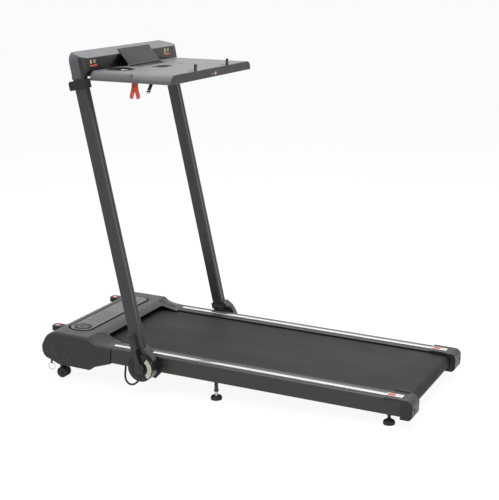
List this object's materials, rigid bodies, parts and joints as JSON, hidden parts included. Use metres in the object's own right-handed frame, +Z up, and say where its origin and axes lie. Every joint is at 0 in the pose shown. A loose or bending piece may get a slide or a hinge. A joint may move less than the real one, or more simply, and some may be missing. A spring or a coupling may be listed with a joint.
{
  "type": "treadmill",
  "caption": "Folding treadmill: cushioned running deck, motor hood at the front, leaning posts on locking pivots, console bar and a desk tray with cup holder.",
  "frame": {"origin": "on the floor under the middle of the overall box", "axes": "+X from the motor hood towards the rear of the deck, +Y to the right of a person on the belt who faces the console, +Z up"},
  "size_m": [1.2286, 0.6628, 1.035],
  "materials": {
    "frame_steel": "satin black paint",
    "post_paint": "dark grey textured powder coat",
    "casting": "dark grey painted casting",
    "rail_grey": "dark grey anodised",
    "bright_trim": "polished bright",
    "steel": "brushed",
    "zinc": "dark plated",
    "belt": "fine matt texture",
    "rubber": "matt",
    "board": "waxed fibreboard",
    "hood_grey": "fine grained dark grey",
    "panel_grey": "satin grey",
    "black_plastic": "matt black",
    "console_grey": "satin blue grey",
    "gloss_black": "gloss black",
    "tray_grey": "satin blue grey",
    "red_plastic": "gloss red",
    "cable": "satin black sheath",
    "webbing": "woven black",
    "circuit": "green board"
  },
  "bodies": {
    "base": {"frame_tubes": "frame_steel", "crossmembers": "frame_steel", "deck_cushions": "rubber", "deck_board": "board", "side_rail_left": "rail_grey", "side_rail_right": "rail_grey", "foot_rail_trims": "bright_trim", "rear_cap_left": "black_plastic", "rear_cap_right": "black_plastic", "running_belt": "belt", "roller_axles": "zinc", "roller_adjusters": "zinc", "drive_belt": "rubber", "motor_case": "black_plastic", "motor_plate": "frame_steel", "motor_controller": "circuit", "hood_cover": "hood_grey", "belly_pan": "hood_grey", "control_panel": "panel_grey", "storage_bumpers": "rubber", "power_inlet": "black_plastic", "wheel_forks": "frame_steel", "pivot_bracket_left": "frame_steel", "pivot_bracket_right": "frame_steel", "mast_cable": "cable"},
    "front_roller": {"front_roller": "steel", "roller_pulley": "black_plastic"},
    "rear_roller": {"rear_roller": "steel"},
    "motor_rotor": {"motor_rotor": "steel"},
    "pull_ring": {"pull_ring": "steel"},
    "power_switch": {"power_switch": "black_plastic"},
    "wheel_left": {"transport_wheel_left": "rubber"},
    "wheel_right": {"transport_wheel_right": "rubber"},
    "foot_middle_left": {"levelling_foot_middle_left": "rubber"},
    "foot_middle_right": {"levelling_foot_middle_right": "rubber"},
    "foot_rear_left": {"levelling_foot_rear_left": "rubber"},
    "foot_rear_right": {"levelling_foot_rear_right": "rubber"},
    "mast": {"pivot_casting_left": "casting", "pivot_casting_right": "casting", "post_left": "post_paint", "post_right": "post_paint", "post_collars": "black_plastic", "console_housing": "console_grey", "console_keypad": "console_grey", "console_fascia": "gloss_black", "tray_brackets": "zinc"},
    "lock_lever_left": {"lock_lever_left": "black_plastic"},
    "lock_lever_right": {"lock_lever_right": "black_plastic"},
    "collar_lever_left": {"collar_lever_left": "black_plastic"},
    "collar_lever_right": {"collar_lever_right": "black_plastic"},
    "tray": {"desk_tray": "tray_grey", "tray_rear_plate": "black_plastic", "cup_holder": "black_plastic", "tray_pins": "steel", "safety_clip_body": "red_plastic", "tether_strap": "webbing"},
    "tablet_flap": {"tablet_flap": "black_plastic"},
    "laptop_stop_left": {"laptop_stop_left": "black_plastic"},
    "laptop_stop_right": {"laptop_stop_right": "black_plastic"},
    "clip_jaw": {"safety_clip_jaw": "red_plastic"}
  },
  "joints": [
    {"name": "mast_fold", "type": "hinge", "parent": "base", "child": "mast", "pos_m": [-0.23008, 0, 0.08893], "axis": [0, 1, 0], "range_deg": [0, 92]},
    {"name": "tray_fold", "type": "hinge", "parent": "mast", "child": "tray", "pos_m": [-0.38526, 0, 0.96202], "axis": [0, 1, 0], "range_deg": [0, 78]},
    {"name": "tablet_flap_turn", "type": "hinge", "parent": "tray", "child": "tablet_flap", "pos_m": [-0.36282, 0, 0.98256], "axis": [0, 1, 0], "range_deg": [0, 125]},
    {"name": "laptop_stop_left_turn", "type": "hinge", "parent": "tray", "child": "laptop_stop_left", "pos_m": [-0.12697, 0, 0.97312], "axis": [0, 1, 0], "range_deg": [-90, 0]},
    {"name": "laptop_stop_right_turn", "type": "hinge", "parent": "tray", "child": "laptop_stop_right", "pos_m": [-0.12697, 0, 0.97312], "axis": [0, 1, 0], "range_deg": [-90, 0]},
    {"name": "lock_lever_left_turn", "type": "hinge", "parent": "mast", "child": "lock_lever_left", "pos_m": [-0.23008, 0, 0.08893], "axis": [0, 1, 0], "range_deg": [0, 60]},
    {"name": "lock_lever_right_turn", "type": "hinge", "parent": "mast", "child": "lock_lever_right", "pos_m": [-0.23008, 0, 0.08893], "axis": [0, 1, 0], "range_deg": [0, 60]},
    {"name": "collar_lever_left_turn", "type": "hinge", "parent": "mast", "child": "collar_lever_left", "pos_m": [-0.44111, 0, 0.9273], "axis": [0, 1, 0], "range_deg": [-75, 0]},
    {"name": "collar_lever_right_turn", "type": "hinge", "parent": "mast", "child": "collar_lever_right", "pos_m": [-0.44111, 0, 0.9273], "axis": [0, 1, 0], "range_deg": [-75, 0]},
    {"name": "front_roller_spin", "type": "hinge", "parent": "base", "child": "front_roller", "pos_m": [-0.47372, 0, 0.10227], "axis": [0, 1, 0], "continuous": true},
    {"name": "rear_roller_spin", "type": "hinge", "parent": "base", "child": "rear_roller", "pos_m": [0.57515, 0, 0.05347], "axis": [0, 1, 0], "continuous": true},
    {"name": "motor_spin", "type": "hinge", "parent": "base", "child": "motor_rotor", "pos_m": [-0.55191, 0, 0.0999], "axis": [0, 1, 0], "continuous": true},
    {"name": "wheel_left_spin", "type": "hinge", "parent": "base", "child": "wheel_left", "pos_m": [-0.54774, -0.243, 0.0175], "axis": [0, 1, 0], "continuous": true},
    {"name": "wheel_right_spin", "type": "hinge", "parent": "base", "child": "wheel_right", "pos_m": [-0.54774, 0.243, 0.0175], "axis": [0, 1, 0], "continuous": true},
    {"name": "foot_middle_left_screw", "type": "hinge", "parent": "base", "child": "foot_middle_left", "pos_m": [-0.00525, -0.254, 0], "axis": [0, 0, 1], "continuous": true},
    {"name": "foot_middle_right_screw", "type": "hinge", "parent": "base", "child": "foot_middle_right", "pos_m": [-0.00525, 0.254, 0], "axis": [0, 0, 1], "continuous": true},
    {"name": "foot_rear_left_screw", "type": "hinge", "parent": "base", "child": "foot_rear_left", "pos_m": [0.54016, -0.254, 0], "axis": [0, 0, 1], "continuous": true},
    {"name": "foot_rear_right_screw", "type": "hinge", "parent": "base", "child": "foot_rear_right", "pos_m": [0.54016, 0.254, 0], "axis": [0, 0, 1], "continuous": true},
    {"name": "power_switch_rock", "type": "hinge", "parent": "base", "child": "power_switch", "pos_m": [-0.60167, 0.145, 0.0847], "axis": [0, 1, 0], "range_deg": [0, 12]},
    {"name": "pull_ring_swing", "type": "hinge", "parent": "base", "child": "pull_ring", "pos_m": [-0.5803, -0.262, 0.04917], "axis": [1, 0, 0], "range_deg": [-50, 50]},
    {"name": "clip_jaw_open", "type": "hinge", "parent": "tray", "child": "clip_jaw", "pos_m": [-0.25383, -0.262, 0.93326], "axis": [0, 1, 0], "range_deg": [0, 12], "stiffness_Nm_per_rad": 0.3, "springref_deg": -8.59}
  ],
  "couplings": [
    {"joint": "tray_fold", "follows": "mast_fold", "ratio": 0.8},
    {"joint": "rear_roller_spin", "follows": "front_roller_spin", "ratio": 1},
    {"joint": "motor_spin", "follows": "front_roller_spin", "ratio": 2.7273}
  ]
}
